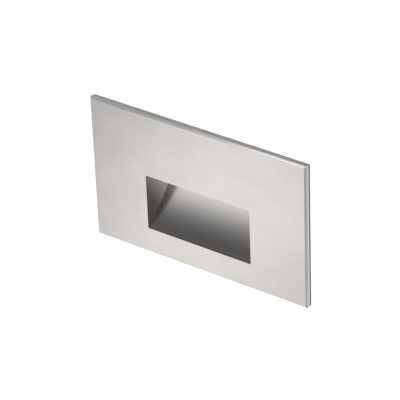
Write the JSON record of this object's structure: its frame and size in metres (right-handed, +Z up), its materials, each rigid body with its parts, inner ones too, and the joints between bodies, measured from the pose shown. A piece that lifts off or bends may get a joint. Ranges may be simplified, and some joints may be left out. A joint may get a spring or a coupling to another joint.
{
  "type": "recessed step light",
  "caption": "Horizontal recessed LED step light: brushed steel face plate with a downward reflector scoop, sealed housing and a wall-box bracket it pulls out of.",
  "frame": {"origin": "midway between the bracket's two screw slots, on the wall plane", "axes": "+X to the right along the face, +Y into the wall, +Z up"},
  "size_m": [0.127, 0.0462, 0.0794],
  "materials": {
    "face_steel": "brushed",
    "scoop_steel": "satin",
    "zinc_sheet": "zinc plated",
    "screw_steel": "machined",
    "cast_aluminium": "as cast",
    "grey_silicone": "matt",
    "black_silicone": "matt",
    "pad_silicone": "matt",
    "frosted_glass": "frosted",
    "white_board": "solder mask",
    "green_board": "solder mask",
    "led_phosphor": "gloss",
    "black_plastic": "moulded",
    "red_plastic": "moulded",
    "sleeve_blue": "gloss",
    "winding_tape": "tape",
    "fish_paper": "matt",
    "brass": "machined",
    "green_steel": "painted"
  },
  "bodies": {
    "bracket": {"mounting_bracket": "zinc_sheet"},
    "light_unit": {"board_screw_left_high": "screw_steel", "board_screw_left_low": "screw_steel", "board_screw_right_high": "screw_steel", "board_screw_right_low": "screw_steel", "capacitor": "sleeve_blue", "controller": "black_plastic", "cover_gasket": "black_silicone", "cover_screw_left_high": "screw_steel", "cover_screw_left_low": "screw_steel", "cover_screw_right_high": "screw_steel", "cover_screw_right_low": "screw_steel", "driver_board": "green_board", "faceplate": "face_steel", "film_capacitor": "red_plastic", "fuse": "red_plastic", "gland_body": "black_plastic", "gland_cap": "black_plastic", "gland_locknut": "black_plastic", "gland_seal": "black_silicone", "ground_screw": "green_steel", "ground_washer": "brass", "housing": "cast_aluminium", "housing_gasket": "black_silicone", "insulating_sheet": "fish_paper", "led_1": "led_phosphor", "led_2": "led_phosphor", "led_3": "led_phosphor", "led_4": "led_phosphor", "led_5": "led_phosphor", "led_6": "led_phosphor", "led_board": "white_board", "led_screw_left": "screw_steel", "led_screw_right": "screw_steel", "lens": "frosted_glass", "lens_gasket": "black_silicone", "lens_retainer": "screw_steel", "lens_screw_left_front": "screw_steel", "lens_screw_left_rear": "screw_steel", "lens_screw_right_front": "screw_steel", "lens_screw_right_rear": "screw_steel", "link_socket": "black_plastic", "rear_cover": "cast_aluminium", "rectifier": "black_plastic", "reflector_scoop": "scoop_steel", "side_screw_left_high": "screw_steel", "side_screw_left_low": "screw_steel", "side_screw_right_high": "screw_steel", "side_screw_right_low": "screw_steel", "standoff_left_high": "brass", "standoff_left_low": "brass", "standoff_right_high": "brass", "standoff_right_low": "brass", "thermal_pad": "pad_silicone", "transformer": "winding_tape", "wall_gasket": "grey_silicone"},
    "set_screw_left": {"set_screw_left": "screw_steel"},
    "set_screw_right": {"set_screw_right": "screw_steel"}
  },
  "joints": [
    {"name": "light_slide", "type": "slide", "parent": "bracket", "child": "light_unit", "axis": [0, -1, 0], "range_m": [0, 0.05]},
    {"name": "set_screw_left_back_out", "type": "slide", "parent": "light_unit", "child": "set_screw_left", "axis": [0, 0, -1], "range_m": [0, 0.002]},
    {"name": "set_screw_right_back_out", "type": "slide", "parent": "light_unit", "child": "set_screw_right", "axis": [0, 0, -1], "range_m": [0, 0.002]}
  ]
}
